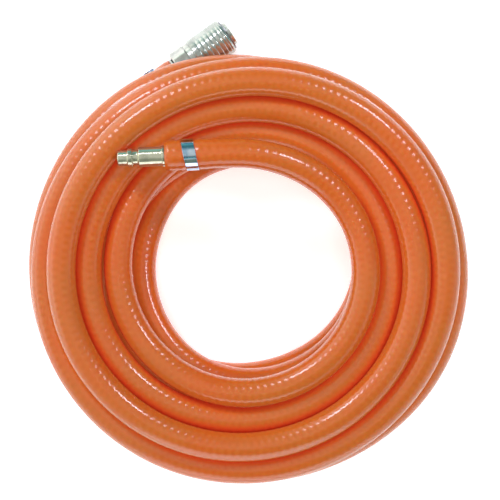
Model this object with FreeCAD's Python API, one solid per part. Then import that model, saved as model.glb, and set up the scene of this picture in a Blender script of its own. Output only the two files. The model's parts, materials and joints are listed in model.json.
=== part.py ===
import FreeCAD, Part
import math
import os

# A coiled compressed-air hose with a plug on its upper, inner end and a quick coupler
# on its lower, outer end. Millimetres, +Z up. The origin is on the floor, on the axis
# of the coil; +X and +Y are right and up as seen from straight above.

V = FreeCAD.Vector

# Hose
hose_outer = 19.0
hose_bore = 13.0
floor_flat = 0.5             # depth cut off the turns that lie on the floor
hose_end_run = 37.0          # straight length at each end, over the barb

# Coil, as stations four to a turn, going clockwise from the plug end
station_side = 111.5         # direction of the first station of every turn, degrees
level_step = 19.55           # height from one layer to the next
top_turns = 4
top_first_radius = (76.2, 78.0, 80.2, 85.0)     # first turn at its four stations
top_growth = (14.9, 17.2, 17.4, 16.6)           # and how much each further turn adds
top_ride = (                 # how far the top turns ride above their level, by station
    (30.0, 14.0, 10.8, 3.3),
    (0.0, 0.0, 0.0, 6.0),
    (13.6, 11.0, 11.0, 19.3),
    (26.8, 13.2, 0.0, 0.0),
)
top_bulge = {(0, 3): -1.2, (1, 2): 0.4, (1, 3): 3.2, (2, 1): -1.0, (2, 3): 2.6,
             (3, 1): 1.2, (3, 2): -0.4}   # turn, station
rim_beyond = 18.3           # of the outer turn's end outside the top layer
# Outer turn by eighths: distance inside its end, and height above the floor layer
rim_inside = (8.7, 4.6, 1.5, -1.6, 3.2, 4.0, 1.6, 0.2, 0.0)
rim_above = (46.6, 41.75, 33.75, 25.2, 19.6, 19.6, 19.6, 22.9, 25.6)
# Hidden layers, as distances inside the outer turn's end, station by station
middle_inside = (15.1, 22.7, 25.4, 30.2, 35.9, 42.2, 45.3, 52.6, 55.8, 61.8)
fall_inside = (63.9, 67.4, 66.2, 59.6)   # falling to the floor, by eighths of a turn
fall_above = (19.5, 16.1, 4.8, 0.0)
first_floor_inside = (54.4, 65.8)
passing_inside = (62.0, 51.4, 43.7, 38.0)   # passing under the fall, by eighths
last_floor_inside = (33.3, 31.2, 27.2, 18.4, 11.2, 7.2, 2.2)

# Plug end of the hose
plug_face = (-52.5, 74.2, 79.4)      # hose end face, on the axis
plug_heading = 183.0                 # direction the plug points, degrees

# Coupler end of the hose
coupler_step_out = 2.9       # of the coupler's axis outside the last floor station
coupler_heading = 35.5       # direction the coupler points, degrees
coupler_end_run = 39.8       # straight hose from the nearest point to its end face
floor_gap = 0.3              # under the coupler's sleeve

# Clearances
slip = 0.05                  # radial, fixed pieces that fit one inside another
run = 0.08                   # radial, pieces that slide on each other
face_gap = 0.3               # along the axis, between pieces that move apart

# Barbed stems
barb_length = 32.0
barb_count = 4
barb_dip = 0.6
barb_land = 2.0              # full width next to the fitting
barb_taper = 2.0             # lead-in at the stem's end
stem_bore = 8.5

# Plug, lengths along its axis from the hose end face
plug_flange_radius = 7.0
plug_flange_length = 1.7
plug_body_radius = 6.4
plug_body_length = 15.8
plug_neck_radius = 5.0
plug_neck_length = 3.3
plug_collar_radius = 6.0
plug_collar_length = 3.6
plug_tip_radius = 5.0
plug_tip_length = 6.4
plug_bore = 7.2
plug_chamfer = 0.8

# Clamps
clamp_band = 8.2             # width of the band
clamp_thick = 0.8
clamp_distance = 16.0        # from the hose end face to the middle of the band
ear_width = 4.6              # across the folded ear
ear_height = 2.3             # above the band
plug_ear_lean = 24.0         # degrees from straight up, towards the coil's eye
coupler_ear_lean = 78.0      # degrees from straight up, away from the coil
plug_clamp_skew = 9.0        # degrees that the plug's clamp sits askew on the hose

# Coupler, lengths along its axis from the rear face
tail_flange_length = 1.2     # between the hose end and the seal
tail_flange_radius = 9.2
seal_thick = 1.0
seal_inset = 0.5             # of the seal inside the flange's edge
hex_flats = 22.0
hex_corner_radius = 12.3
hex_length = 10.8
hex_ease = 1.0
collar_end = 22.0            # the body's widest part, behind the sleeve's spring
nose_radius = 8.6            # the body inside the sleeve
nose_ease = 0.4
coupler_length = 44.0
socket_mouth = 3.5           # the bore that guides a plug, ahead of the balls
socket_relief = 0.25         # how much wider the bore is behind it
thread_radius = 6.6
thread_depth = 9.0
tip_bore_length = 3.6        # the narrow bore between the socket and the valve seat
valve_room_radius = 7.3
sleeve_radius = 12.8
sleeve_wall = 0.92           # where it is thinnest, over the body's collar
sleeve_room = 3.8            # from the hexagon to the sleeve
sleeve_front = 3.7           # from the sleeve's front to the coupler's front face
sleeve_travel = 3.2
sleeve_ease = 0.6            # bevel at the sleeve's ends
spring_room_front = 11.0     # from the spring's room to the coupler's front face
grip_pitch = 3.3
grip_width = 1.5
grip_depth = 0.25
grip_first = 25.4            # from the rearmost groove to the coupler's front face
grip_count = 6
front_band = 6.3             # from the front groove to the coupler's front face
front_band_width = 0.8
ring_groove = 1.0
ring_depth = 0.9
ring_slit = 1.6
ring_radius = 10.9

# Locking balls
ball_count = 6
ball_radius = 1.8
ball_depth = 7.8             # behind the front face
ball_rise = 0.9              # how far each moves out when the sleeve is drawn back
ball_reach = 5.2             # innermost point when locked
ball_play = 0.25             # between a ball and the sleeve's ramp

# Seals and valve
seal_section = 1.5           # width of the seals round the plug and on the poppet
seal_width = 1.8
poppet_radius = 6.4
poppet_length = 4.4
poppet_stem_radius = 2.2
poppet_stem_length = 2.0
poppet_gap = 0.5             # from the poppet's face to its seat
poppet_seal_proud = 0.2
air_slot = 1.2               # width and depth of the cross cut in the poppet's face
air_slot_rim = 0.3           # left between the cross and the seal's groove
valve_spring_radius = 4.6

spring_wire = 1.0
sleeve_spring_coils = 5
valve_spring_coils = 6


def circle(center, direction, radius):
    return Part.Wire(Part.makeCircle(radius, center, direction))


def turned(outline):
    """A solid turned about the X axis from (x, r) corners."""
    corners = [V(x, r, 0) for x, r in outline]
    return Part.Face(Part.makePolygon(corners + corners[:1])).revolve(
        V(0, 0, 0), V(1, 0, 0), 360)


def rod(radius, start, end):
    return Part.makeCylinder(radius, end - start, V(start, 0, 0), V(1, 0, 0))


def placed(shape, origin, heading):
    """A fitting modelled along +X, set at its place and turned to its heading."""
    shape = shape.copy()
    shape.Placement = FreeCAD.Placement(
        origin, FreeCAD.Rotation(V(0, 0, 1), heading)).multiply(shape.Placement)
    return shape


def smooth_slopes(turns, values):
    """Slopes at the stations that never overshoot between them."""
    slopes = [0.0] * len(values)
    for i in range(1, len(values) - 1):
        before = (values[i] - values[i - 1]) / (turns[i] - turns[i - 1])
        after = (values[i + 1] - values[i]) / (turns[i + 1] - turns[i])
        if before * after > 0:
            slopes[i] = 2 * before * after / (before + after)
    return slopes


def middle_slopes(turns, values):
    """Slopes at the stations from their two neighbours."""
    last = len(values) - 1
    slopes = []
    for i in range(last + 1):
        low, high = max(i - 1, 0), min(i + 1, last)
        slopes.append((values[high] - values[low]) / (turns[high] - turns[low]))
    return slopes


def coil_stations():
    """Turn number, radius and height of every station, from the plug end down."""
    floor = floor_height()
    top = floor + 2 * level_step
    rows = []
    for turn in range(top_turns):
        for side in range(4):
            radius = (top_first_radius[side] + top_growth[side] * turn
                      + top_bulge.get((turn, side), 0.0))
            rows.append((turn + side / 4, radius, top + top_ride[turn][side]))
    outside = rows[-4][1] + rim_beyond
    for i, (inside, above) in enumerate(zip(rim_inside, rim_above)):
        rows.append((top_turns + i / 8, outside - inside, floor + above))
    hidden = [(1 / 4, inside, level_step) for inside in middle_inside]
    hidden += [(1 / 8, inside, above) for inside, above in zip(fall_inside, fall_above)]
    hidden += [(1 / 4, inside, 0.0) for inside in first_floor_inside]
    hidden += [(1 / 8, inside, 0.0) for inside in passing_inside]
    hidden += [(1 / 4, inside, 0.0) for inside in last_floor_inside]
    turn = rows[-1][0]
    for step, inside, above in hidden:
        turn += step
        rows.append((turn, outside - inside, floor + above))
    return rows[1:]


def floor_height():
    return hose_outer / 2 - floor_flat


def heading_vector(heading):
    return V(math.cos(math.radians(heading)), math.sin(math.radians(heading)), 0)


def coupler_axis_height():
    return sleeve_radius + floor_gap


def coupler_reach():
    """Distance of the coupler's axis from the coil's axis."""
    return coil_stations()[-1][1] + coupler_step_out


def coupler_hose_end():
    foot = heading_vector(coupler_heading + 90) * coupler_reach()
    foot.z = coupler_axis_height()
    return foot + heading_vector(coupler_heading) * coupler_end_run


def hose_stations():
    """Points on the hose's centre line, each with its direction of travel."""
    rows = coil_stations()
    turns = [row[0] for row in rows]
    radii = [row[1] for row in rows]
    heights = [row[2] for row in rows]
    radius_slopes = middle_slopes(turns, radii)
    height_slopes = smooth_slopes(turns, heights)
    plug_way = heading_vector(plug_heading) * -1
    face = V(*plug_face)
    points = [face, face + plug_way * hose_end_run]
    ways = [plug_way, plug_way]
    for turn, radius, height, grow, climb in zip(
            turns, radii, heights, radius_slopes, height_slopes):
        out = heading_vector(station_side - 360 * turn)
        along = V(out.y, -out.x, 0)
        points.append(out * radius + V(0, 0, height))
        way = along * (2 * math.pi * radius) + out * grow + V(0, 0, climb)
        ways.append(way.normalize())
    coupler_way = heading_vector(coupler_heading)
    end = coupler_hose_end()
    points += [end - coupler_way * coupler_end_run, end]
    ways += [coupler_way, coupler_way]
    return points, ways


def joined_arcs(start, start_way, end, end_way):
    """Two arcs that meet tangentially between two points with given directions."""
    chord = end - start
    both = start_way + end_way
    spread = 2 * (1 - start_way.dot(end_way))
    lean = chord.dot(both)
    if spread < 1e-9:
        reach = chord.dot(chord) / (2 * lean)
    else:
        reach = (math.sqrt(lean ** 2 + spread * chord.dot(chord)) - lean) / spread
    meeting = (start + start_way * reach + end - end_way * reach) * 0.5
    first, turned_way = arc_from(start, start_way, meeting)
    second, _ = arc_from(meeting, turned_way, end)
    return [first, second]


def arc_from(start, way, end):
    """An arc that leaves a point in a given direction, and its direction at the end."""
    chord = end - start
    along = V(chord).normalize()
    side = way - along * way.dot(along)
    if side.Length < 1e-7:
        return Part.LineSegment(start, end).toShape(), V(way)
    half = math.atan2(side.Length, way.dot(along))
    crown = chord * 0.5 + side.normalize() * (chord.Length / 2 * math.tan(half / 2))
    edge = Part.Arc(start, start + crown, end).toShape()
    return edge, (along * (2 * way.dot(along)) - way).normalize()


def hose_route():
    points, ways = hose_stations()
    edges = []
    for i in range(len(points) - 1):
        edges += joined_arcs(points[i], ways[i], points[i + 1], ways[i + 1])
    return edges


def make_hose():
    """One unbroken tube from the plug to the coupler, flat where it lies on the floor."""
    path = Part.Wire(hose_route())
    points, ways = hose_stations()
    outer, bore = [
        path.makePipeShell([circle(points[0], ways[0], radius)], True, False)
        for radius in (hose_outer / 2, hose_bore / 2)]
    tube = outer.cut(bore)
    section = math.pi * ((hose_outer / 2) ** 2 - (hose_bore / 2) ** 2)
    print("hose length %.1f, volume over section times length %.4f"
          % (path.Length, tube.Volume / (section * path.Length)))
    reach = 4 * coupler_reach()
    below = Part.makeBox(reach, reach, hose_outer, V(-reach / 2, -reach / 2, -hose_outer))
    return tube.cut(below)


def least_gap(edges):
    """Least gap between the hose and itself, measured on points along its centre line."""
    step = hose_outer / 6
    points = []
    travelled = 0.0
    for edge in edges:
        count = max(2, int(edge.Length / step))
        first, last = edge.FirstParameter, edge.LastParameter
        forward = edge.Orientation == "Forward"
        for i in range(count):
            share = i / count if forward else 1 - i / count
            points.append((travelled + edge.Length * i / count,
                           edge.valueAt(first + (last - first) * share)))
        travelled += edge.Length
    cell = hose_outer * 1.5
    grid = {}
    for i, (_, p) in enumerate(points):
        grid.setdefault((int(p.x // cell), int(p.y // cell), int(p.z // cell)), []).append(i)
    least = cell
    where = None
    for key, members in grid.items():
        near = [j for dx in (-1, 0, 1) for dy in (-1, 0, 1) for dz in (-1, 0, 1)
                for j in grid.get((key[0] + dx, key[1] + dy, key[2] + dz), [])]
        for i in members:
            run_i, p = points[i]
            for j in near:
                run_j, q = points[j]
                if run_j - run_i > 4 * hose_outer:
                    gap = p.distanceToPoint(q)
                    if gap < least:
                        least = gap
                        where = (p, q)
    print("least gap of the hose to itself %.2f near" % (least - hose_outer), where)


def stem(length, count):
    """A barbed hose stem from x = -length to x = 0, with its through bore left solid."""
    radius = hose_bore / 2 - slip
    pitch = (length - barb_land - barb_taper) / count
    outline = [(0, 0), (0, radius)]
    for i in range(count):
        start = -barb_land - pitch * i
        outline += [(start, radius), (start - pitch / 4, radius - barb_dip),
                    (start - pitch * 0.9, radius - barb_dip)]
    tip = -barb_land - pitch * count
    return turned(outline + [(tip, radius), (-length, radius - 2 * barb_dip), (-length, 0)])


def make_plug():
    x1 = plug_flange_length
    x2 = x1 + plug_body_length
    x3 = x2 + plug_neck_length
    x4 = x3 + plug_collar_length
    x5 = x4 + plug_tip_length
    c = plug_chamfer
    head = turned([
        (0, 0), (0, plug_flange_radius), (x1, plug_flange_radius),
        (x1, plug_body_radius), (x2 - c, plug_body_radius), (x2, plug_neck_radius),
        (x3, plug_neck_radius), (x3 + c / 2, plug_collar_radius),
        (x4 - c / 2, plug_collar_radius), (x4, plug_tip_radius),
        (x5 - c, plug_tip_radius), (x5, plug_tip_radius - c), (x5, 0)])
    solid = head.fuse(stem(barb_length, barb_count)).removeSplitter()
    return solid.cut(rod(plug_bore / 2, -barb_length - 1, x5 + 1))


def make_clamp(lean, skew):
    """A single-ear band clamp about the X axis, its hollow ear leaning towards +Y.

    It is made too long and trimmed by a slab that may stand askew to the hose.
    """
    inner = hose_outer / 2 + slip
    outer = inner + clamp_thick
    top = outer + ear_height
    half = clamp_band
    ear = Part.makeBox(2 * half, ear_width, top, V(-half, -ear_width / 2, 0))
    hollow = Part.makeBox(2 * half, ear_width - 2 * clamp_thick, top - clamp_thick,
                          V(-half, -ear_width / 2 + clamp_thick, 0))
    clamp = rod(outer, -half, half).fuse(ear.cut(hollow))
    clamp = clamp.cut(rod(inner, -half - 1, half + 1)).removeSplitter()
    clamp.rotate(V(0, 0, 0), V(1, 0, 0), -lean)
    thick = clamp_band * math.cos(math.radians(skew))
    slab = Part.makeBox(thick, 4 * top, 4 * top, V(-thick / 2, -2 * top, -2 * top))
    slab.rotate(V(0, 0, 0), V(0, 0, 1), skew)
    return clamp.common(slab)


def along(x):
    """Distance from the hose end face to a place measured from the coupler's rear face."""
    return tail_flange_length + seal_thick + x


def from_front(depth):
    return along(coupler_length - depth)


def socket_depth():
    """Depth at which the plug's collar stops, its neck level with the balls."""
    return ball_depth + plug_neck_length / 2 + plug_collar_length


def valve_seat():
    return from_front(socket_depth() + tip_bore_length)


def make_coupler_tail():
    """Barbed stem with a flange and the thread that screws into the coupler's rear."""
    flange = rod(tail_flange_radius, 0, tail_flange_length)
    screw = rod(thread_radius - slip, 0, along(thread_depth))
    solid = stem(barb_length, barb_count).fuse([flange, screw]).removeSplitter()
    return solid.cut(rod(stem_bore / 2, -barb_length - 1, along(thread_depth) + 1))


def make_tail_seal():
    ring = rod(tail_flange_radius - seal_inset, tail_flange_length, along(0))
    return ring.cut(rod(thread_radius + slip, 0, along(1)))


def ball_angles():
    return [360.0 * i / ball_count for i in range(ball_count)]


def ball_centre(angle, rise):
    r = ball_reach + ball_radius + rise
    a = math.radians(angle)
    return V(from_front(ball_depth), r * math.sin(a), r * math.cos(a))


def make_wrench_hex():
    """The hexagon at the coupler's rear, its corners turned down and eased."""
    corner = hex_flats / math.sqrt(3)
    start, end = along(0), along(hex_length)
    corners = [V(start, corner * math.sin(math.radians(60 * i + 30)),
                 corner * math.cos(math.radians(60 * i + 30))) for i in range(7)]
    prism = Part.Face(Part.makePolygon(corners)).extrude(V(hex_length, 0, 0))
    return prism.common(turned([
        (start, 0), (start, hex_corner_radius - hex_ease),
        (start + hex_ease, hex_corner_radius), (end - hex_ease, hex_corner_radius),
        (end, hex_corner_radius - hex_ease), (end, 0)]))


def collar_radius():
    return sleeve_radius - sleeve_wall - run


def ring_groove_start():
    return from_front(sleeve_front) + face_gap


def make_coupler_body():
    front = from_front(0)
    groove = ring_groove_start()
    shaft = turned([
        (along(hex_length), 0), (along(hex_length), collar_radius()),
        (along(collar_end), collar_radius()), (along(collar_end), nose_radius),
        (groove, nose_radius), (groove, nose_radius - ring_depth),
        (groove + ring_groove, nose_radius - ring_depth),
        (groove + ring_groove, nose_radius),
        (front - nose_ease, nose_radius), (front, nose_radius - nose_ease), (front, 0)])
    body = make_wrench_hex().fuse(shaft).removeSplitter()
    thread_end = along(thread_depth) + face_gap
    mouth_radius = plug_collar_radius + run
    hollows = [
        turned([
            (valve_seat(), 0), (valve_seat(), plug_tip_radius + run),
            (from_front(socket_depth()), plug_tip_radius + run),
            (from_front(socket_depth()), mouth_radius + socket_relief),
            (from_front(socket_mouth), mouth_radius + socket_relief),
            (from_front(socket_mouth), mouth_radius),
            (front + 1, mouth_radius), (front + 1, 0)]),
        rod(valve_room_radius, thread_end, valve_seat()),
        rod(thread_radius, along(-1), thread_end),
        plug_seal_ring(slip)]
    for angle in ball_angles():
        seat = ball_centre(angle, 0)
        outward = V(0, seat.y, seat.z)
        hollows.append(Part.makeSphere(ball_radius + run, seat))
        hollows.append(Part.makeCylinder(ball_radius + run, nose_radius, seat, outward))
    for hollow in hollows:
        body = body.cut(hollow)
    return body


def plug_seal_ring(room):
    """The seal round the plug's tip, or with some room the groove that holds it."""
    inner = plug_tip_radius + run
    middle = (from_front(socket_depth()) + valve_seat()) / 2
    half = seal_width / 2 + room
    ring = rod(inner + seal_section + room, middle - half, middle + half)
    return ring.cut(rod(inner - room, middle - 2 * half, middle + 2 * half))


def make_retaining_ring():
    start = ring_groove_start()
    ring = rod(ring_radius, start + slip, start + ring_groove - slip)
    ring = ring.cut(rod(nose_radius - ring_depth + slip, start - 1, start + ring_groove + 1))
    slit = Part.makeBox(2 * ring_groove, ring_slit, 2 * ring_radius,
                        V(start - ring_groove / 2, -ring_slit / 2, 0))
    return ring.cut(slit)


def make_sleeve():
    """The sliding sleeve, with the ramp that holds the balls in or lets them out."""
    rear, front = along(hex_length + sleeve_room), from_front(sleeve_front)
    guide = collar_radius() + run
    track = ball_reach + 2 * ball_radius + ball_play
    at_ball = from_front(ball_depth)
    mouth = track + ball_rise / sleeve_travel * (front - at_ball)
    sleeve = turned([
        (rear, guide), (rear, sleeve_radius - sleeve_ease),
        (rear + sleeve_ease, sleeve_radius), (front - 2 * sleeve_ease, sleeve_radius),
        (front, sleeve_radius - sleeve_ease), (front, mouth), (at_ball, track),
        (from_front(spring_room_front), track), (from_front(spring_room_front), guide)])
    for i in range(grip_count):
        start = from_front(grip_first) + grip_pitch * i
        sleeve = sleeve.cut(outer_groove(start, grip_width, grip_depth))
    return sleeve.cut(outer_groove(from_front(front_band), front_band_width, grip_depth))


def outer_groove(start, width, depth):
    ring = rod(sleeve_radius + 1, start, start + width)
    return ring.cut(rod(sleeve_radius - depth, start - 1, start + width + 1))


def make_spring(start, end, mean_radius, coils):
    """An open coil spring about the X axis, swept along arcs of a quarter turn each."""
    first = start + spring_wire
    rise = (end - start - 2 * spring_wire) / (4 * coils)
    climb = V(rise / (math.pi / 2), 0, 0)
    points, ways = [], []
    for i in range(4 * coils + 1):
        out = V(0, math.cos(i * math.pi / 2), math.sin(i * math.pi / 2))
        points.append(V(first + rise * i, 0, 0) + out * mean_radius)
        ways.append((V(0, -out.z, out.y) * mean_radius + climb).normalize())
    edges = []
    for i in range(4 * coils):
        edges += joined_arcs(points[i], ways[i], points[i + 1], ways[i + 1])
    ring = circle(points[0], ways[0], spring_wire / 2)
    return Part.Wire(edges).makePipeShell([ring], True, False)


def make_poppet():
    """The valve's head and stem, pushed back by the plug's tip."""
    front = valve_seat() - poppet_gap
    back = front - poppet_length
    head = turned([
        (front, 0), (front, poppet_radius), (back, poppet_radius),
        (back, poppet_stem_radius), (back - poppet_stem_length, poppet_stem_radius),
        (back - poppet_stem_length, 0)])
    reach = poppet_radius - seal_section - air_slot_rim
    for size_y, size_z in ((2 * reach, air_slot), (air_slot, 2 * reach)):
        head = head.cut(Part.makeBox(air_slot, size_y, size_z,
                                     V(front - air_slot, -size_y / 2, -size_z / 2)))
    return head.cut(poppet_seal_ring(slip))


def poppet_seal_ring(room):
    """The face seal in the poppet, or with some room the groove that holds it."""
    front = valve_seat() - poppet_gap + poppet_seal_proud
    inner = poppet_radius - seal_section
    ring = rod(poppet_radius + room, front - seal_width - room, front + room)
    return ring.cut(rod(inner - room, front - 2 * seal_width, front + 1))


def export(name, shape):
    if len(shape.Solids) == 1:
        shape = shape.Solids[0]
    shape.exportStep("parts/%s.step" % name)
    print("%-24s %9.1f mm3" % (name, shape.Volume), "valid" if shape.isValid() else "NOT VALID",
          len(shape.Solids))


def main():
    os.makedirs("parts", exist_ok=True)
    least_gap(hose_route())
    export("hose", make_hose())
    export("plug_nipple", placed(make_plug(), V(*plug_face), plug_heading))
    for name, origin, heading, lean, skew in (
            ("plug_end_clamp", V(*plug_face), plug_heading, plug_ear_lean,
             plug_clamp_skew),
            ("coupler_end_clamp", coupler_hose_end(), coupler_heading,
             coupler_ear_lean, 0.0)):
        clamp = make_clamp(lean, skew)
        clamp.translate(V(-clamp_distance, 0, 0))
        export(name, placed(clamp, origin, heading))
    poppet_back = valve_seat() - poppet_gap - poppet_length
    coupler = {
        "coupler_tail": make_coupler_tail(),
        "tail_seal": make_tail_seal(),
        "coupler_body": make_coupler_body(),
        "plug_seal": plug_seal_ring(0),
        "sleeve_retaining_ring": make_retaining_ring(),
        "locking_sleeve": make_sleeve(),
        "sleeve_spring": make_spring(along(collar_end), from_front(spring_room_front),
                                     (nose_radius + collar_radius()) / 2,
                                     sleeve_spring_coils),
        "valve_poppet": make_poppet(),
        "poppet_seal": poppet_seal_ring(0),
        "valve_spring": make_spring(along(thread_depth), poppet_back,
                                    valve_spring_radius, valve_spring_coils),
    }
    for i, angle in enumerate(ball_angles()):
        ball = Part.makeSphere(ball_radius, ball_centre(angle, 0))
        coupler["locking_ball_%d" % (i + 1)] = ball
    for name, shape in coupler.items():
        export(name, placed(shape, coupler_hose_end(), coupler_heading))


main()
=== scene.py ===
import bmesh
import bpy
import json
import math
from mathutils import Matrix, Vector


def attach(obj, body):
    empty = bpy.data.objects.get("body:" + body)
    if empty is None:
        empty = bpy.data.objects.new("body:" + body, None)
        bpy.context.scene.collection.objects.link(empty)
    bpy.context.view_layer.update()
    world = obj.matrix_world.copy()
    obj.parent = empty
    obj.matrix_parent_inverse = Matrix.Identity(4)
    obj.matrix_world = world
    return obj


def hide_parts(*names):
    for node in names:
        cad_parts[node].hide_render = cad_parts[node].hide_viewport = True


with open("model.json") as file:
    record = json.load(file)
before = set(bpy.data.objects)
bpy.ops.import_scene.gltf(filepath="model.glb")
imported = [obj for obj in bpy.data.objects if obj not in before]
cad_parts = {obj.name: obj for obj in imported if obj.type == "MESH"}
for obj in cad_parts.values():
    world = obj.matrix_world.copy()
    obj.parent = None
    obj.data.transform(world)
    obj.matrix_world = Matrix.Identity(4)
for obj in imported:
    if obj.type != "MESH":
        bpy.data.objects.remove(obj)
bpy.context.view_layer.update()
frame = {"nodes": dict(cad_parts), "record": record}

MM = 0.001

# The camera looks straight down, as the photograph was taken
CAMERA_OVER = (2.3, 13.5, 1000.0)
LENS = 102.74
SENSOR = 36.0

# The hose and its coil in millimetres, with four stations to a turn, as in the solid
HOSE_OUTER = 19.0
HOSE_BORE = 13.0
FLOOR_FLAT = 0.5             # pressed flat under the lowest turns
END_RUN = 37.0               # straight hose at the plug's end
STATION_SIDE = 111.5         # azimuth of each turn's first station, degrees
LEVEL_STEP = 19.55           # height from one layer to the next
TOP_TURNS = 4
TOP_FIRST_RADIUS = (76.2, 78.0, 80.2, 85.0)   # at each of a turn's stations
TOP_GROWTH = (14.9, 17.2, 17.4, 16.6)         # of that radius with each turn
TOP_RIDE = (                 # how far the top turns ride above their level
    (30.0, 14.0, 10.8, 3.3),
    (0.0, 0.0, 0.0, 6.0),
    (13.6, 11.0, 11.0, 19.3),
    (26.8, 13.2, 0.0, 0.0),
)
TOP_BULGE = {                # by turn and station
    (0, 3): -1.2, (1, 2): 0.4, (1, 3): 3.2, (2, 1): -1.0, (2, 3): 2.6,
    (3, 1): 1.2, (3, 2): -0.4,
}
RIM_BEYOND = 18.3            # of the outer turn's end outside the top layer
# Outer turn by eighths: distance inside its end, and height above the floor layer
RIM_INSIDE = (8.7, 4.6, 1.5, -1.6, 3.2, 4.0, 1.6, 0.2, 0.0)
RIM_ABOVE = (46.6, 41.75, 33.75, 25.2, 19.6, 19.6, 19.6, 22.9, 25.6)
# Hidden layers, as distances inside the outer turn's end
MIDDLE_INSIDE = (15.1, 22.7, 25.4, 30.2, 35.9, 42.2, 45.3, 52.6, 55.8, 61.8)
FALL_INSIDE = (63.9, 67.4, 66.2, 59.6)   # falling to the floor, by eighths of a turn
FALL_ABOVE = (19.5, 16.1, 4.8, 0.0)
FIRST_FLOOR_INSIDE = (54.4, 65.8)
PASSING_INSIDE = (62.0, 51.4, 43.7, 38.0)   # passing under the fall, by eighths
LAST_FLOOR_INSIDE = (33.3, 31.2, 27.2, 18.4, 11.2, 7.2, 2.2)
POINTS_PER_TURN = 24         # of the hose's control line

# The coupler's sleeve, its places measured from the hexagon's rear face
HEX_START = 2.2              # that face, from the hose's end
SLEEVE_RADIUS = 12.8
SLEEVE_START = 14.6
SLEEVE_END = 40.3
SLEEVE_EASE = 0.6
SLEEVE_GUIDE = 11.88         # bore round the body
SLEEVE_TRACK = 9.05          # bore round the locked balls
RAMP_START = 36.2
BALL_RAMP = 0.28125          # rise of the ramp that frees the balls
SPRING_ROOM_END = 33.0
GRIP_FIRST = 18.6
GRIP_PITCH = 3.3
GRIP_WIDTH = 1.5
GRIP_DEPTH = 0.25
GRIP_COUNT = 6
GROOVE_SLOPE = 0.3
FRONT_BAND_START = 37.7
FRONT_BAND_WIDTH = 0.8

# Where the hose's ends lie and which way they point, in degrees
PLUG_FACE = Vector((-52.5, 74.2, 79.4))
PLUG_HEADING = 183.0
COUPLER_STEP_OUT = 2.9
COUPLER_HEADING = 35.5
COUPLER_END_RUN = 39.8
COUPLER_HEIGHT = 13.1

# Clamps
CLAMP_DISTANCE = 16.0        # from the hose's end to the band's middle
CLAMP_BAND = 8.2
CLAMP_THICK = 0.8
CLAMP_PLAY = 0.05
PLUG_CLAMP_LEAN = 24.0       # of the ear from upright, degrees
COUPLER_CLAMP_LEAN = 78.0
PLUG_CLAMP_SKEW = 9.0

SHARP = 34                   # edges that turn further than this stay crisp, degrees


# Shader building

class Shade:
    """A socket's value inside a node tree, with arithmetic that adds Math nodes."""

    def __init__(self, owner, socket):
        self.owner = owner
        self.socket = socket

    def _math(self, operation, *values):
        return self.owner.node("ShaderNodeMath", {"operation": operation},
                               dict(enumerate(values)))

    def __add__(self, other):
        return self._math("ADD", self, other)

    def __radd__(self, other):
        return self._math("ADD", other, self)

    def __sub__(self, other):
        return self._math("SUBTRACT", self, other)

    def __rsub__(self, other):
        return self._math("SUBTRACT", other, self)

    def __mul__(self, other):
        return self._math("MULTIPLY", self, other)

    def __rmul__(self, other):
        return self._math("MULTIPLY", other, self)

    def cos(self):
        return self._math("COSINE", self)

    def clamp(self):
        return self._math("MAXIMUM", self._math("MINIMUM", self, 1.0), 0.0)


class NodeTree:
    """A tree of shader nodes, each made by one method."""

    def __init__(self, tree):
        self.tree = tree

    def plug(self, socket, value):
        if isinstance(value, Shade):
            self.tree.links.new(value.socket, socket)
        else:
            socket.default_value = value

    def node(self, kind, settings=None, values=None, output=0):
        made = self.tree.nodes.new(kind)
        for key, value in (settings or {}).items():
            if key == "stops":
                ramp = made.color_ramp.elements
                while len(ramp) < len(value):
                    ramp.new(0.5)
                for element, (place, colour) in zip(ramp, value):
                    element.position = place
                    element.color = colour
            else:
                setattr(made, key, value)
        for key, value in (values or {}).items():
            self.plug(made.inputs[key], value)
        return Shade(self, made.outputs[output])

    def between(self, factor, one, two, blend="MIX"):
        """A colour blended from one to two."""
        return self.node("ShaderNodeMix", {"data_type": "RGBA", "blend_type": blend},
                         {0: factor, 6: one, 7: two}, output=2)


class Paint(NodeTree):
    """One procedural material under construction."""

    def __init__(self, name, **fixed):
        self.material = bpy.data.materials.new(name)
        self.material.use_nodes = True
        super().__init__(self.material.node_tree)
        self.shader = self.tree.nodes["Principled BSDF"]
        for socket, value in fixed.items():
            self.shader.inputs[socket.replace("_", " ")].default_value = value

    def use(self, socket, value):
        self.plug(self.shader.inputs[socket], value)

    def along_and_around(self):
        """Metres along a piece and turns around it, from its own map."""
        spot = self.node("ShaderNodeUVMap", {"uv_map": "run"})
        along = self.node("ShaderNodeSeparateXYZ", None, {0: spot})
        return along, Shade(self, along.socket.node.outputs[1])

    def place(self):
        return self.node("ShaderNodeTexCoord", output=3)

    def noise(self, vector, scale, detail=2.0, roughness=0.5):
        return self.node("ShaderNodeTexNoise", {"noise_dimensions": "3D"},
                         {"Vector": vector, "Scale": scale, "Detail": detail,
                          "Roughness": roughness})

    def vector(self, x, y):
        return self.node("ShaderNodeCombineXYZ", None, {0: x, 1: y})

    def ramp(self, value, low, high):
        """0 below low, 1 above high."""
        return self.node("ShaderNodeMapRange", {"interpolation_type": "SMOOTHSTEP"},
                         {"Value": value, "From Min": low, "From Max": high})

    def occlusion_mask(self, reach):
        """How shut in a spot is, for painted shade and glow: 1 deep in a groove or corner, 0 in
        the open; the reach is in metres.
        """
        open_sky = self.node("ShaderNodeAmbientOcclusion", {"samples": 8},
                             {"Distance": reach}, output=1)
        return ((1.0 - open_sky) * 1.5).clamp()

    def relief(self, height, distance):
        """Fine relief in the shading alone; the distance is its depth in metres."""
        self.use("Normal", self.node("ShaderNodeBump", None, {
            "Height": height, "Distance": distance, "Strength": 1.0}))


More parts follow.
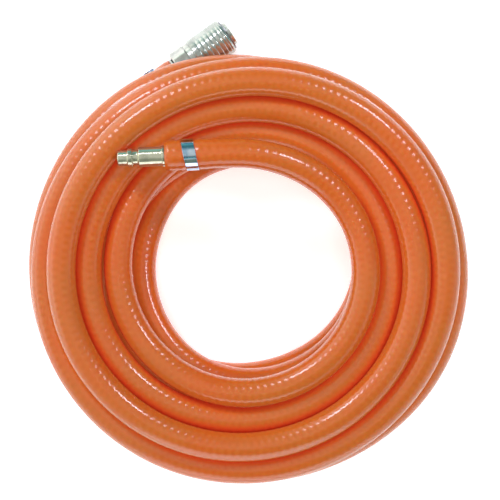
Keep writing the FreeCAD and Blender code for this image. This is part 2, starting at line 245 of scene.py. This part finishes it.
def rgb(red, green, blue):
    """A linear colour from display values of 0 to 255."""
    def linear(value):
        value /= 255
        return value / 12.92 if value <= 0.04045 else ((value + 0.055) / 1.055) ** 2.4
    return linear(red), linear(green), linear(blue), 1.0


def make_hose_paint():
    paint = Paint("orange_pvc", IOR=1.5, Subsurface_Weight=0.35, Subsurface_Scale=0.006,
                  Coat_Roughness=0.1)
    paint.shader.inputs["Subsurface Radius"].default_value = (1.0, 0.22, 0.08)
    along, around = paint.along_and_around()
    turn = 2 * math.pi
    braid_pitch = 0.0050
    braid_strands = 10
    wave = (along * (turn / braid_pitch)).cos() * (around * (turn * braid_strands / 2)).cos()
    weave = wave * 0.5 + 0.5
    place = paint.place()
    clouds = paint.noise(place, 14.0)
    fine = paint.noise(place, 160.0, 3.0)
    base = paint.between(paint.ramp(clouds, 0.35, 0.65), rgb(214, 99, 28), rgb(206, 106, 34))
    woven = paint.between(weave * 0.35, base, rgb(220, 112, 36))
    # Painted shade and light: the seams between turns are tinted red, and through emission the
    # hollows glow orange and the seams red, lifting the shaded lower turns.
    seam_shade = paint.occlusion_mask(0.0055)
    paint.use("Base Color", paint.between(seam_shade * 0.6, woven, rgb(214, 66, 40)))
    hollow_shade = paint.occlusion_mask(0.045)
    painted_fill_glow = paint.between(hollow_shade, rgb(0, 0, 0), rgb(196, 118, 66))
    paint.use("Emission Color", paint.between(seam_shade, painted_fill_glow, rgb(214, 56, 36)))
    paint.use("Emission Strength", 0.14)
    paint.use("Roughness", 0.21 + fine * 0.07)
    paint.use("Coat Weight", 0.3 + clouds * 0.25)
    paint.relief(weave * 0.8 + fine * 0.12, 0.00026)
    return paint.material


def make_turned_paint(name, tone, dark, roughness):
    """Bright metal with the fine rings that a lathe leaves round it."""
    paint = Paint(name, Metallic=0.86)
    along, around = paint.along_and_around()
    place = paint.place()
    rings_per_metre = 1600.0
    rings = paint.noise(paint.vector(along * rings_per_metre, around), 1.0, 3.0, 0.65)
    wear = paint.noise(place, 90.0, 3.0)
    # The dark colour marks real wear in patches, and painted shade in grooves and corners.
    wear_and_shade = (paint.ramp(wear, 0.42, 0.72) * 0.5 + paint.occlusion_mask(0.001) * 0.45).clamp()
    paint.use("Base Color", paint.between(wear_and_shade * 0.75, tone, dark))
    paint.use("Roughness", roughness + rings * 0.08 + wear_and_shade * 0.1)
    paint.relief(rings, 0.00003)
    return paint.material


def make_solid_metal_paint(name, tone, dark, roughness):
    """Bright metal on a solid that has no map of its own."""
    paint = Paint(name, Metallic=0.88)
    place = paint.place()
    wear = paint.noise(place, 140.0, 3.0)
    fine = paint.noise(place, 1400.0, 2.0)
    # The dark colour marks real wear in patches, and painted shade in grooves and corners.
    wear_and_shade = (paint.ramp(wear, 0.4, 0.75) * 0.5 + paint.occlusion_mask(0.0016)).clamp()
    paint.use("Base Color", paint.between(wear_and_shade * 0.75, tone, dark))
    paint.use("Roughness", roughness + fine * 0.08 + wear_and_shade * 0.1)
    paint.relief(fine, 0.00001)
    return paint.material


def make_zinc_paint():
    paint = Paint("bright_zinc", Metallic=1.0)
    place = paint.place()
    bloom = paint.noise(place, 120.0, 3.0)
    spangle = paint.noise(place, 900.0, 2.0)
    mask = paint.ramp(bloom, 0.38, 0.62)
    plate = paint.between(mask, rgb(218, 234, 246), rgb(168, 200, 226))
    # Painted shade: dark navy in grooves and corners.
    paint.use("Base Color", paint.between(paint.occlusion_mask(0.0012), plate, rgb(48, 78, 112)))
    paint.use("Roughness", 0.1 + spangle * 0.12)
    paint.relief(spangle, 0.00001)
    return paint.material


def make_rubber_paint():
    paint = Paint("seal_rubber", Specular_IOR_Level=0.4)
    place = paint.place()
    grain = paint.noise(place, 1200.0, 2.0)
    dust = paint.noise(place, 150.0, 2.0)
    paint.use("Base Color", paint.between(dust, rgb(26, 26, 27), rgb(48, 47, 46)))
    paint.use("Roughness", 0.55 + grain * 0.25)
    paint.relief(grain, 0.00004)
    return paint.material


def make_floor_paint():
    paint = Paint("pale_floor", Specular_IOR_Level=0.2, Emission_Strength=0.52)
    paint.shader.inputs["Emission Color"].default_value = (1.0, 1.0, 1.0, 1.0)
    place = paint.place()
    tone = paint.noise(place, 3.0)
    paint.use("Base Color", paint.between(tone, rgb(246, 246, 246), rgb(250, 250, 250)))
    paint.use("Roughness", 0.8)
    return paint.material


# Camera first

def make_camera():
    camera = bpy.data.objects.new("camera", bpy.data.cameras.new("camera"))
    camera.data.sensor_width = SENSOR
    camera.data.lens = LENS
    camera.data.clip_start = 0.01
    camera.data.clip_end = 20.0
    camera.location = Vector(CAMERA_OVER) * MM
    bpy.context.scene.collection.objects.link(camera)
    bpy.context.scene.camera = camera


# The hose's line

def heading_vector(heading):
    return Vector((math.cos(math.radians(heading)), math.sin(math.radians(heading)), 0))


def coil_stations():
    """Turn number, radius and height of the coil's stations, by quarters and eighths."""
    floor = HOSE_OUTER / 2 - FLOOR_FLAT
    top = floor + 2 * LEVEL_STEP
    rows = []
    for turn in range(TOP_TURNS):
        for side in range(4):
            radius = (TOP_FIRST_RADIUS[side] + TOP_GROWTH[side] * turn
                      + TOP_BULGE.get((turn, side), 0.0))
            rows.append((turn + side / 4, radius, top + TOP_RIDE[turn][side]))
    outside = rows[-4][1] + RIM_BEYOND
    for i, (inside, above) in enumerate(zip(RIM_INSIDE, RIM_ABOVE)):
        rows.append((TOP_TURNS + i / 8, outside - inside, floor + above))
    hidden = [(1 / 4, inside, LEVEL_STEP) for inside in MIDDLE_INSIDE]
    hidden += [(1 / 8, inside, above) for inside, above in zip(FALL_INSIDE, FALL_ABOVE)]
    hidden += [(1 / 4, inside, 0.0) for inside in FIRST_FLOOR_INSIDE]
    hidden += [(1 / 8, inside, 0.0) for inside in PASSING_INSIDE]
    hidden += [(1 / 4, inside, 0.0) for inside in LAST_FLOOR_INSIDE]
    turn = rows[-1][0]
    for step, inside, above in hidden:
        turn += step
        rows.append((turn, outside - inside, floor + above))
    return rows[1:]


def middle_slopes(turns, values):
    slopes = []
    for i in range(len(values)):
        low, high = max(i - 1, 0), min(i + 1, len(values) - 1)
        slopes.append((values[high] - values[low]) / (turns[high] - turns[low]))
    return slopes


def smooth_slopes(turns, values):
    slopes = [0.0] * len(values)
    for i in range(1, len(values) - 1):
        before = (values[i] - values[i - 1]) / (turns[i] - turns[i - 1])
        after = (values[i + 1] - values[i]) / (turns[i + 1] - turns[i])
        if before * after > 0:
            slopes[i] = 2 * before * after / (before + after)
    return slopes


def eased_value(turn, turns, values, slopes):
    """The value at any turn number, on a smooth curve through the stations."""
    i = max(k for k in range(len(turns) - 1) if turns[k] <= turn + 1e-9)
    width = turns[i + 1] - turns[i]
    t = (turn - turns[i]) / width
    return ((1 + 2 * t) * (1 - t) ** 2 * values[i] + t * (1 - t) ** 2 * width * slopes[i]
            + t * t * (3 - 2 * t) * values[i + 1] + t * t * (t - 1) * width * slopes[i + 1])


def polar_station(point, way):
    """Turn number, radius and height of a point, and its slopes along a direction."""
    radius = math.hypot(point.x, point.y)
    out = Vector((point.x, point.y, 0)) / radius
    forward = Vector((out.y, -out.x, 0))
    per_turn = 2 * math.pi * radius / way.dot(forward)
    side = math.degrees(math.atan2(point.y, point.x))
    turn = ((STATION_SIDE - side) / 360) % 1
    return turn, radius, point.z, way.dot(out) * per_turn


def coil_end():
    """Where the coil ends and the straight run to the coupler starts, in millimetres."""
    spot = heading_vector(COUPLER_HEADING + 90) * (coil_stations()[-1][1] + COUPLER_STEP_OUT)
    spot.z = COUPLER_HEIGHT
    return spot


def hose_points():
    """The hose's line from the plug to the coupler, in metres."""
    rows = coil_stations()
    turns = [row[0] for row in rows]
    radii = [row[1] for row in rows]
    heights = [row[2] for row in rows]
    radius_slopes = middle_slopes(turns, radii)
    height_slopes = smooth_slopes(turns, heights)

    plug_way = -heading_vector(PLUG_HEADING)
    leave = PLUG_FACE + plug_way * END_RUN
    turn, radius, height, slope = polar_station(leave, plug_way)
    turns.insert(0, turn)
    radii.insert(0, radius)
    heights.insert(0, height)
    radius_slopes.insert(0, slope)
    height_slopes.insert(0, 0.0)

    coupler_way = heading_vector(COUPLER_HEADING)
    arrive = coil_end()
    turn, radius, height, slope = polar_station(arrive, coupler_way)
    turns.append(math.floor(turns[-1]) + turn)
    radii.append(radius)
    heights.append(height)
    radius_slopes.append(slope)
    height_slopes.append(0.0)

    count = round((turns[-1] - turns[0]) * POINTS_PER_TURN)
    stand_out = 1 / math.cos(math.pi / POINTS_PER_TURN)
    coil = []
    for i in range(count + 1):
        turn = turns[0] + (turns[-1] - turns[0]) * i / count
        radius = eased_value(turn, turns, radii, radius_slopes)
        height = eased_value(turn, turns, heights, height_slopes)
        if 0 < i < count:
            radius *= stand_out
        coil.append(heading_vector(STATION_SIDE - 360 * turn) * radius
                    + Vector((0, 0, height)))
    end = arrive + coupler_way * COUPLER_END_RUN
    points = ([PLUG_FACE, PLUG_FACE + plug_way * END_RUN / 2] + coil
              + [arrive + coupler_way * COUPLER_END_RUN / 2, end])
    return [point * MM for point in points]


def spline_line(name, points, steps):
    """Points read along a smooth curve that has the given control points."""
    curve = bpy.data.curves.new(name, "CURVE")
    curve.dimensions = "3D"
    spline = curve.splines.new("NURBS")
    spline.points.add(len(points) - 1)
    for control, point in zip(spline.points, points):
        control.co = (*point, 1)
    spline.order_u = 3
    spline.use_endpoint_u = True
    spline.resolution_u = steps
    holder = bpy.data.objects.new(name, curve)
    bpy.context.scene.collection.objects.link(holder)
    line = bpy.data.meshes.new_from_object(holder)
    found = [vertex.co.copy() for vertex in line.vertices]
    bpy.data.objects.remove(holder)
    bpy.data.curves.remove(curve)
    bpy.data.meshes.remove(line)
    return found


def finish_mesh(name, mesh_data, smooth=True):
    mesh = bpy.data.meshes.new(name)
    mesh_data.to_mesh(mesh)
    mesh_data.free()
    for face in mesh.polygons:
        face.use_smooth = smooth
    piece = bpy.data.objects.new(name, mesh)
    bpy.context.scene.collection.objects.link(piece)
    return piece


def make_hose(path):
    """The tube with its cut ends, swollen over the barbs and nipped by the clamps."""
    sides = 24
    mouth_depth = 3                  # points of the path that the open ends go in
    half = HOSE_OUTER / 2 * MM
    bore = HOSE_BORE / 2 * MM
    travelled = [0.0]
    for one, two in zip(path, path[1:]):
        travelled.append(travelled[-1] + (two - one).length)
    total = travelled[-1]
    shape = bmesh.new()
    run = shape.loops.layers.uv.new("run")
    rings = []
    up = Vector((0, 0, 1))
    for i, point in enumerate(path):
        way = (path[min(i + 1, len(path) - 1)] - path[max(i - 1, 0)]).normalized()
        side = way.cross(up).normalized()
        top = side.cross(way)
        from_end = min(travelled[i], total - travelled[i]) / MM
        radius = half + end_swell(from_end) * MM
        ring = []
        for k in range(sides):
            turn = 2 * math.pi * k / sides
            spot = point + (side * math.cos(turn) + top * math.sin(turn)) * radius
            spot.z = max(spot.z, 0.0)
            ring.append(shape.verts.new(spot))
        rings.append(ring)
    for i in range(len(rings) - 1):
        for k in range(sides):
            following = (k + 1) % sides
            face = shape.faces.new((rings[i][k], rings[i][following],
                                    rings[i + 1][following], rings[i + 1][k]))
            for loop, (along, around) in zip(
                    face.loops, ((i, k), (i, k + 1), (i + 1, k + 1), (i + 1, k))):
                loop[run].uv = (travelled[along], around / sides)
    for ring, point, inward in ((rings[0], path[0], path[mouth_depth]),
                                (rings[-1], path[-1], path[-1 - mouth_depth])):
        mouth = [shape.verts.new(point + (vert.co - point).normalized() * bore)
                 for vert in ring]
        deep = [shape.verts.new(vert.co + inward - point) for vert in mouth]
        for k in range(sides):
            following = (k + 1) % sides
            shape.faces.new((ring[k], mouth[k], mouth[following], ring[following]))
            shape.faces.new((mouth[k], deep[k], deep[following], mouth[following]))
    bmesh.ops.recalc_face_normals(shape, faces=shape.faces)
    return finish_mesh("hose_tube", shape)


def end_swell(distance):
    """How much the hose stands out over the barbs, and how it dips under the clamp."""
    stand_out, rise, barbs_end, fall = 0.28, 1.5, 30.0, 4.0
    clamp_dip, edge_ease, edge_reach = 0.62, 0.25, 0.5
    swell = stand_out * max(0.0, min(1.0, distance / rise, (barbs_end - distance) / fall))
    dip = clamp_dip * math.exp(-((distance - CLAMP_DISTANCE) / (CLAMP_BAND * 0.48)) ** 4)
    return swell - dip - edge_ease * math.exp(-distance / edge_reach)


# Turned pieces

def eased(outline, size):
    """The outline with every corner rounded by short arcs."""
    longest_share = 0.45             # of an edge that a corner's arc may take
    found = []
    last = len(outline) - 1
    for i, corner in enumerate(outline):
        corner = Vector(corner)
        if i in (0, last):
            found.append(corner)
            continue
        before = Vector(outline[i - 1]) - corner
        after = Vector(outline[i + 1]) - corner
        reach = min(size, before.length * longest_share, after.length * longest_share)
        start = corner + before.normalized() * reach
        end = corner + after.normalized() * reach
        for t in (0.0, 0.33, 0.67, 1.0):
            found.append((1 - t) ** 2 * start + 2 * t * (1 - t) * corner + t * t * end)
    return found


def turned_piece(name, outline, origin, heading, ease=0.3):
    """A piece turned about its axis from an outline of places along it and radii."""
    sides = 96
    shape = bmesh.new()
    run = shape.loops.layers.uv.new("run")
    rings = []
    profile = eased(outline, ease)
    for x, radius in profile:
        ring = []
        for k in range(sides):
            turn = 2 * math.pi * k / sides
            ring.append(shape.verts.new(
                Vector((x, radius * math.sin(turn), radius * math.cos(turn))) * MM))
        rings.append(ring)
    for i in range(len(rings) - 1):
        for k in range(sides):
            following = (k + 1) % sides
            face = shape.faces.new((rings[i][k], rings[i][following],
                                    rings[i + 1][following], rings[i + 1][k]))
            for loop, (step, around) in zip(
                    face.loops, ((i, k), (i, k + 1), (i + 1, k + 1), (i + 1, k))):
                x, radius = profile[step]
                loop[run].uv = ((x + radius) * MM, around / sides)
    bmesh.ops.remove_doubles(shape, verts=shape.verts, dist=1e-7)
    bmesh.ops.recalc_face_normals(shape, faces=shape.faces)
    shape.transform(setting(origin, heading))
    piece = finish_mesh(name, shape)
    soften(piece)
    return piece


def setting(origin, heading):
    """Where a piece made along X from the hose's end goes."""
    return (Matrix.Translation(origin * MM)
            @ Matrix.Rotation(math.radians(heading), 4, "Z"))


def soften(piece):
    """Smooth shading, broken at sharp edges."""
    mesh = piece.data
    shape = bmesh.new()
    shape.from_mesh(mesh)
    for edge in shape.edges:
        edge.smooth = len(edge.link_faces) == 2 and edge.calc_face_angle(0) < math.radians(SHARP)
    shape.to_mesh(mesh)
    shape.free()


def dress(piece, body, slot, paint, *nodes):
    piece.data.materials.clear()
    piece.data.materials.append(paint)
    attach(piece, body)
    if nodes:
        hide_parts(*nodes)


def clamp_line(inner):
    """The band's middle line across the hose, with its pinched ear at the top."""
    ear_half, ear_top, crown_sag = 2.3, 2.3, 0.12
    half_thick = CLAMP_THICK / 2
    mid = inner + half_thick
    start = math.degrees(math.asin((ear_half - half_thick) / mid))
    points = []
    steps = 72
    for i in range(steps + 1):
        a = math.radians(start + (360 - 2 * start) * i / steps)
        points.append(Vector((mid * math.sin(a), mid * math.cos(a))))
    left, right = points[-1], points[0]
    crown = inner + CLAMP_THICK + ear_top - half_thick
    shoulder = [(ear_half - 0.5, crown - 0.7), (ear_half - 0.75, crown - 0.2),
                (ear_half - 1.2, crown)]
    rise = [Vector((0.15, 0.3)), Vector((0.35, 0.9))]
    return (points + [left + step for step in rise]
            + [Vector((-x, y)) for x, y in shoulder] + [Vector((0, crown - crown_sag))]
            + [Vector(corner) for corner in reversed(shoulder)]
            + [right + Vector((-step.x, step.y)) for step in reversed(rise)])


def make_clamp(name, origin, heading, lean, skew):
    """A one-ear band clamp, its ear leaning sideways and its band askew to the hose."""
    line = clamp_line(HOSE_OUTER / 2 + CLAMP_PLAY)
    half = CLAMP_BAND / 2
    thick = CLAMP_THICK / 2
    bevel = 0.2
    shape = bmesh.new()
    run = shape.loops.layers.uv.new("run")
    count = len(line)
    section = [(-half, -thick), (-half + bevel, -thick), (half - bevel, -thick),
               (half, -thick), (half, thick - bevel), (half - bevel, thick),
               (-half + bevel, thick), (-half, thick - bevel)]
    rings = []
    for i in range(count):
        before, after = line[i - 1], line[(i + 1) % count]
        way = (after - before).normalized()
        out = Vector((-way.y, way.x))
        rings.append([(x, line[i] + out * t) for x, t in section])
    made = [[shape.verts.new(Vector((x, spot.x, spot.y)) * MM) for x, spot in ring]
            for ring in rings]
    sides = len(section)
    for i in range(count):
        following = (i + 1) % count
        for k in range(sides):
            beside = (k + 1) % sides
            face = shape.faces.new((made[i][k], made[i][beside],
                                    made[following][beside], made[following][k]))
            for loop in face.loops:
                loop[run].uv = (loop.vert.co.x, i / count)
    bmesh.ops.recalc_face_normals(shape, faces=shape.faces)
    askew = Matrix.Identity(4)
    askew[0][1] = -math.tan(math.radians(skew))
    shape.transform(setting(origin, heading)
                    @ Matrix.Translation(Vector((-CLAMP_DISTANCE, 0, 0)) * MM)
                    @ askew @ Matrix.Rotation(math.radians(-lean), 4, "X"))
    piece = finish_mesh(name, shape)
    soften(piece)
    return piece


def make_stage():
    """The floor, a hair below the lowest turns."""
    half_side, drop = 3.0, 0.00005
    shape = bmesh.new()
    bmesh.ops.create_grid(shape, x_segments=1, y_segments=1, size=half_side)
    floor = finish_mesh("floor", shape, smooth=False)
    floor.location.z = -drop
    floor.data.materials.append(make_floor_paint())


def make_light(name, azimuth, elevation, distance, size, power, colour=(1, 1, 1)):
    """An area light that faces the coil; angles in degrees, lengths in metres."""
    data = bpy.data.lights.new(name, "AREA")
    data.shape = "RECTANGLE"
    data.size, data.size_y = size
    data.energy = power
    data.color = colour
    light = bpy.data.objects.new(name, data)
    a, e = math.radians(azimuth), math.radians(elevation)
    way = Vector((math.cos(a) * math.cos(e), math.sin(a) * math.cos(e), math.sin(e)))
    light.location = way * distance
    light.rotation_euler = way.to_track_quat("Z", "Y").to_euler()
    bpy.context.scene.collection.objects.link(light)
    return light


def make_world():
    """Pale studio sky that is brighter in reflections, with tinted parts for the metal."""
    world = bpy.data.worlds.new("studio")
    bpy.context.scene.world = world
    world.use_nodes = True
    sky = NodeTree(world.node_tree)
    backdrop = sky.tree.nodes["Background"]
    strength, strength_in_reflections = 0.48, 0.68
    glossy = sky.node("ShaderNodeLightPath", output="Is Glossy Ray")
    sky.plug(backdrop.inputs[1], sky.node("ShaderNodeMapRange", None, {
        "Value": glossy, "To Min": strength, "To Max": strength_in_reflections}))
    way = sky.node("ShaderNodeTexCoord", output="Generated")
    height = sky.node("ShaderNodeSeparateXYZ", None, {0: way}, output=2)
    colour = sky.node("ShaderNodeValToRGB", {"stops": (
        (0.0, (1.0, 1.0, 1.0, 1)), (0.30, (1.55, 1.55, 1.55, 1)),
        (0.42, (0.62, 0.72, 0.70, 1)), (0.80, (0.80, 0.88, 0.86, 1)),
        (0.93, (0.95, 0.98, 0.98, 1)), (1.0, (0.85, 0.9, 0.88, 1)))}, {0: height})
    for toward, low, high, tint in (
            ((0.5, 0.8, 0.0), 0.38, 0.55, (0.12, 0.36, 0.38, 1)),
            ((-0.75, 0.35, 0.0), 0.4, 0.6, (2.2, 2.2, 2.15, 1)),
            ((0.25, -0.62, 0.74), 0.8, 0.93, (0.32, 0.36, 0.28, 1))):
        facing = sky.node("ShaderNodeVectorMath", {"operation": "DOT_PRODUCT"},
                          {0: way, 1: toward}, output="Value")
        part = sky.node("ShaderNodeMapRange", None,
                        {"Value": facing, "From Min": low, "From Max": high})
        colour = sky.between(part, colour, tint, "MULTIPLY")
    sky.plug(backdrop.inputs[0], colour)


def sleeve_outline():
    """The sleeve's section, with its grip grooves and its front band."""
    groove_floor = SLEEVE_RADIUS - GRIP_DEPTH
    mouth = SLEEVE_TRACK + BALL_RAMP * (SLEEVE_END - RAMP_START)
    rows = [(SPRING_ROOM_END, SLEEVE_GUIDE), (SLEEVE_START, SLEEVE_GUIDE),
            (SLEEVE_START, SLEEVE_RADIUS - SLEEVE_EASE),
            (SLEEVE_START + SLEEVE_EASE, SLEEVE_RADIUS)]
    grooves = [(GRIP_FIRST + GRIP_PITCH * i, GRIP_WIDTH) for i in range(GRIP_COUNT)]
    for start, width in grooves + [(FRONT_BAND_START, FRONT_BAND_WIDTH)]:
        rows += [(start, SLEEVE_RADIUS), (start + GROOVE_SLOPE, groove_floor),
                 (start + width - GROOVE_SLOPE, groove_floor), (start + width, SLEEVE_RADIUS)]
    rows += [(SLEEVE_END - 2 * SLEEVE_EASE, SLEEVE_RADIUS),
             (SLEEVE_END, SLEEVE_RADIUS - SLEEVE_EASE), (SLEEVE_END, mouth),
             (RAMP_START, SLEEVE_TRACK), (SPRING_ROOM_END, SLEEVE_TRACK),
             (SPRING_ROOM_END, SLEEVE_GUIDE)]
    return [(HEX_START + x, radius) for x, radius in rows]


def plug_outline():
    """The plug's section outside the hose, and its bore from a little way inside."""
    bore, flange, body, collar, narrow = 3.6, 7.0, 6.4, 6.0, 5.0
    body_end, collar_start, collar_end, tip_end = 17.5, 20.8, 24.4, 30.8
    return [(0, bore), (0, flange), (1.7, flange), (1.7, body), (body_end - 0.8, body),
            (body_end, narrow), (collar_start, narrow), (collar_start + 0.4, collar),
            (collar_end - 0.4, collar), (collar_end, narrow), (tip_end - 0.8, narrow),
            (tip_end, 4.2), (tip_end, bore), (-2.0, bore)]


def main():
    bpy.context.scene.view_settings.view_transform = "Standard"
    make_camera()

    points = hose_points()
    path = spline_line("hose_line", points, steps=12)
    hose = make_hose(path)
    dress(hose, "hose_assembly", "hose_pvc", make_hose_paint(), "hose")

    nickel = make_turned_paint("bright_nickel", rgb(214, 212, 186), rgb(88, 98, 80), 0.1)
    steel = make_turned_paint("plated_steel", rgb(196, 200, 191), rgb(80, 90, 80), 0.15)
    zinc = make_zinc_paint()
    solid_nickel = make_solid_metal_paint("nickel_solid", rgb(208, 210, 200),
                                          rgb(88, 96, 90), 0.15)
    spring_steel = make_solid_metal_paint("spring_steel", rgb(170, 172, 175),
                                          rgb(110, 112, 116), 0.25)
    ball_steel = make_solid_metal_paint("ball_steel", rgb(225, 226, 230),
                                        rgb(190, 192, 196), 0.07)
    brass = make_solid_metal_paint("valve_brass", rgb(205, 170, 100), rgb(150, 118, 60), 0.25)
    rubber = make_rubber_paint()

    coupler_face = coil_end() + heading_vector(COUPLER_HEADING) * COUPLER_END_RUN
    plug = turned_piece("plug_turned", plug_outline(), PLUG_FACE, PLUG_HEADING)
    dress(plug, "hose_assembly", "nickel_brass", nickel, "plug_nipple")
    sleeve = turned_piece("sleeve_turned", sleeve_outline(), coupler_face, COUPLER_HEADING,
                          ease=0.2)
    dress(sleeve, "sleeve", "plated_steel", steel, "locking_sleeve")
    for name, node, origin, heading, lean, skew in (
            ("plug_clamp_band", "plug_end_clamp", PLUG_FACE, PLUG_HEADING,
             PLUG_CLAMP_LEAN, PLUG_CLAMP_SKEW),
            ("coupler_clamp_band", "coupler_end_clamp", coupler_face, COUPLER_HEADING,
             COUPLER_CLAMP_LEAN, 0.0)):
        clamp = make_clamp(name, origin, heading, lean, skew)
        dress(clamp, "hose_assembly", "zinc_steel", zinc, node)

    finishes = {
        "nickel_brass": solid_nickel, "zinc_steel": zinc, "spring_steel": spring_steel,
        "ball_steel": ball_steel, "valve_brass": brass, "seal_rubber": rubber,
        "plated_steel": steel, "hose_pvc": None}
    slots = {row["node"]: row["material_slot"] for row in frame["record"]["subparts"]}
    for node, solid in frame["nodes"].items():
        paint = finishes[slots[node]]
        if paint and not solid.hide_render:
            if not solid.material_slots:
                solid.data.materials.append(paint)
            for place in solid.material_slots:
                place.material = paint

    make_stage()
    make_world()
    cool = (0.88, 0.86, 1.0)
    make_light("key_left", 127, 45, 0.9, (0.14, 0.14), 2.0, cool)
    make_light("key_right", 42, 45, 0.9, (0.14, 0.14), 2.0, cool)
    make_light("low_broad", 270, 22, 1.0, (0.8, 0.25), 0.9)
    overhead = make_light("overhead", 270, 84, 1.5, (0.6, 0.6), 6.8)
    overhead.visible_glossy = False
    strip = make_light("low_strip", 270, 5, 1.2, (1.5, 0.14), 2.2, cool)
    strip.visible_diffuse = False


main()
